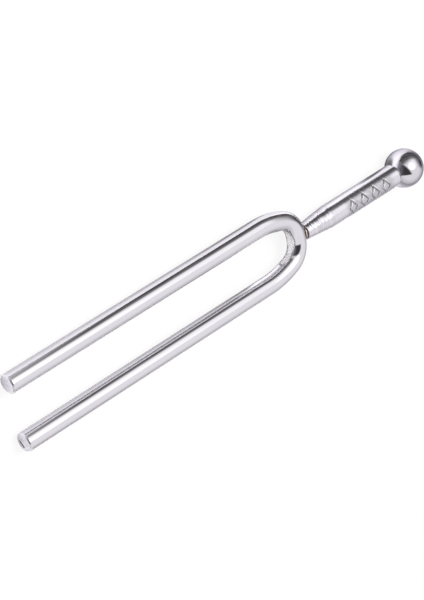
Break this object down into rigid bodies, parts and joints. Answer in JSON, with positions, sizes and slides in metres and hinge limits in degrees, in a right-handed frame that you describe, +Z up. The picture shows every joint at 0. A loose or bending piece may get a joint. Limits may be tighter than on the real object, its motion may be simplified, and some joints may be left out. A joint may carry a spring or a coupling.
{
  "type": "tuning fork",
  "caption": "Plated steel tuning fork bent from round rod, with a tapered round handle brazed to its bend and a polished ball foot at the handle's end.",
  "frame": {"origin": "under the middle of the fork's length and width, level with the lowest point of the ball", "axes": "+X along the fork from the ball to the prong tips, +Y across the two prongs, +Z up, square to the plane that both prongs lie in"},
  "size_m": [0.1242, 0.0186, 0.0092],
  "materials": {
    "polished_rod": "bright plated steel rod, fine polishing lines along it, satin where the inside of the bend is ground flat",
    "turned_handle": "bright plated steel, faint turning ridges on the taper, shallow engraved lozenges",
    "mirror_ball": "mirror polished bearing steel",
    "braze": "brown heat-tinted copper braze, uneven and half bright",
    "plain_steel": "plain turned steel, hidden"
  },
  "bodies": {
    "root": {"fork": "polished_rod", "fork_stud": "plain_steel", "braze_ring": "braze", "handle": "turned_handle", "ball_stud": "plain_steel", "ball": "mirror_ball"}
  },
  "joints": []
}
